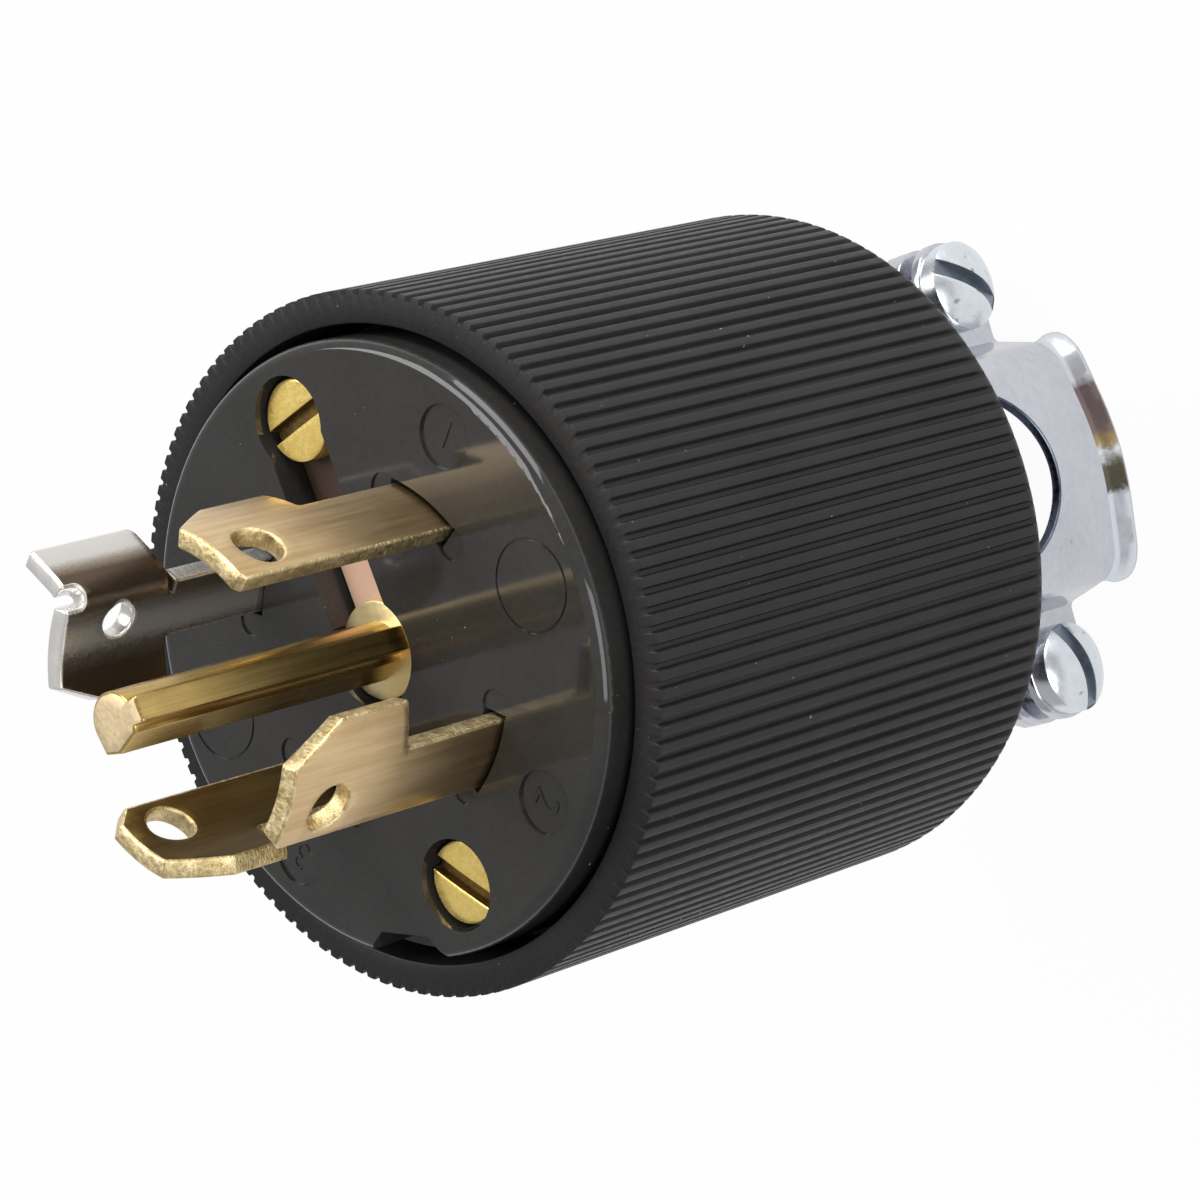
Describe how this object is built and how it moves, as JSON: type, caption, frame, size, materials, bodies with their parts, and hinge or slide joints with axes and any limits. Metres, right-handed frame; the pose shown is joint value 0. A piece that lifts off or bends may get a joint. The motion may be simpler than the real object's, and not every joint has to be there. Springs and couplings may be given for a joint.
{
  "type": "locking plug",
  "caption": "Round twist-locking power plug: curved hooked blades round a keyed ground pin, ribbed cylindrical casing, and a two-jaw screwed cord clamp at the rear.",
  "frame": {"origin": "on the plug's axis, in the front plane of the mating face, at the root of the ground pin", "axes": "+Z up, along the axis towards the blade tips, -Z towards the cord, +X to the right and +Y up when the face is seen from in front; the plug stands on the rear edges of its cord clamp, with the blades up"},
  "size_m": [0.057, 0.057, 0.1135],
  "materials": {
    "shell": "matte charcoal, fine satin sheen on the ribs",
    "face": "moulded charcoal, semi-gloss",
    "block": "moulded black, dull",
    "blade_brass": "satin, slightly tarnished",
    "pin_brass": "drawn, lengthwise streaks",
    "nickel": "nickel plate, dark and bright patches",
    "copper": "bare copper, light scratches",
    "screw_brass": "bright turned brass",
    "zinc": "zinc plate, bluish, polished",
    "green_screw": "green passivated steel",
    "plate_brass": "stamped brass"
  },
  "bodies": {
    "root": {"shell": "shell", "face_body": "face", "terminal_block": "block", "line_blade_1": "blade_brass", "line_blade_2": "blade_brass", "line_blade_3": "blade_brass", "neutral_blade": "nickel", "ground_pin": "pin_brass", "ground_strap": "copper", "assembly_screw_1": "screw_brass", "assembly_screw_2": "screw_brass", "shell_insert_1": "screw_brass", "shell_insert_2": "screw_brass", "terminal_plate_1": "plate_brass", "wire_clamp_1": "zinc", "terminal_screw_1": "screw_brass", "terminal_plate_2": "plate_brass", "wire_clamp_2": "zinc", "terminal_screw_2": "screw_brass", "terminal_plate_3": "plate_brass", "wire_clamp_3": "zinc", "terminal_screw_3": "screw_brass", "terminal_plate_neutral": "plate_brass", "wire_clamp_neutral": "zinc", "terminal_screw_neutral": "nickel", "terminal_plate_ground": "plate_brass", "wire_clamp_ground": "zinc", "terminal_screw_ground": "green_screw", "clamp_jaw_plain": "zinc", "clamp_jaw_tapped": "zinc", "clamp_screw_1": "zinc", "clamp_screw_2": "zinc"}
  },
  "joints": []
}
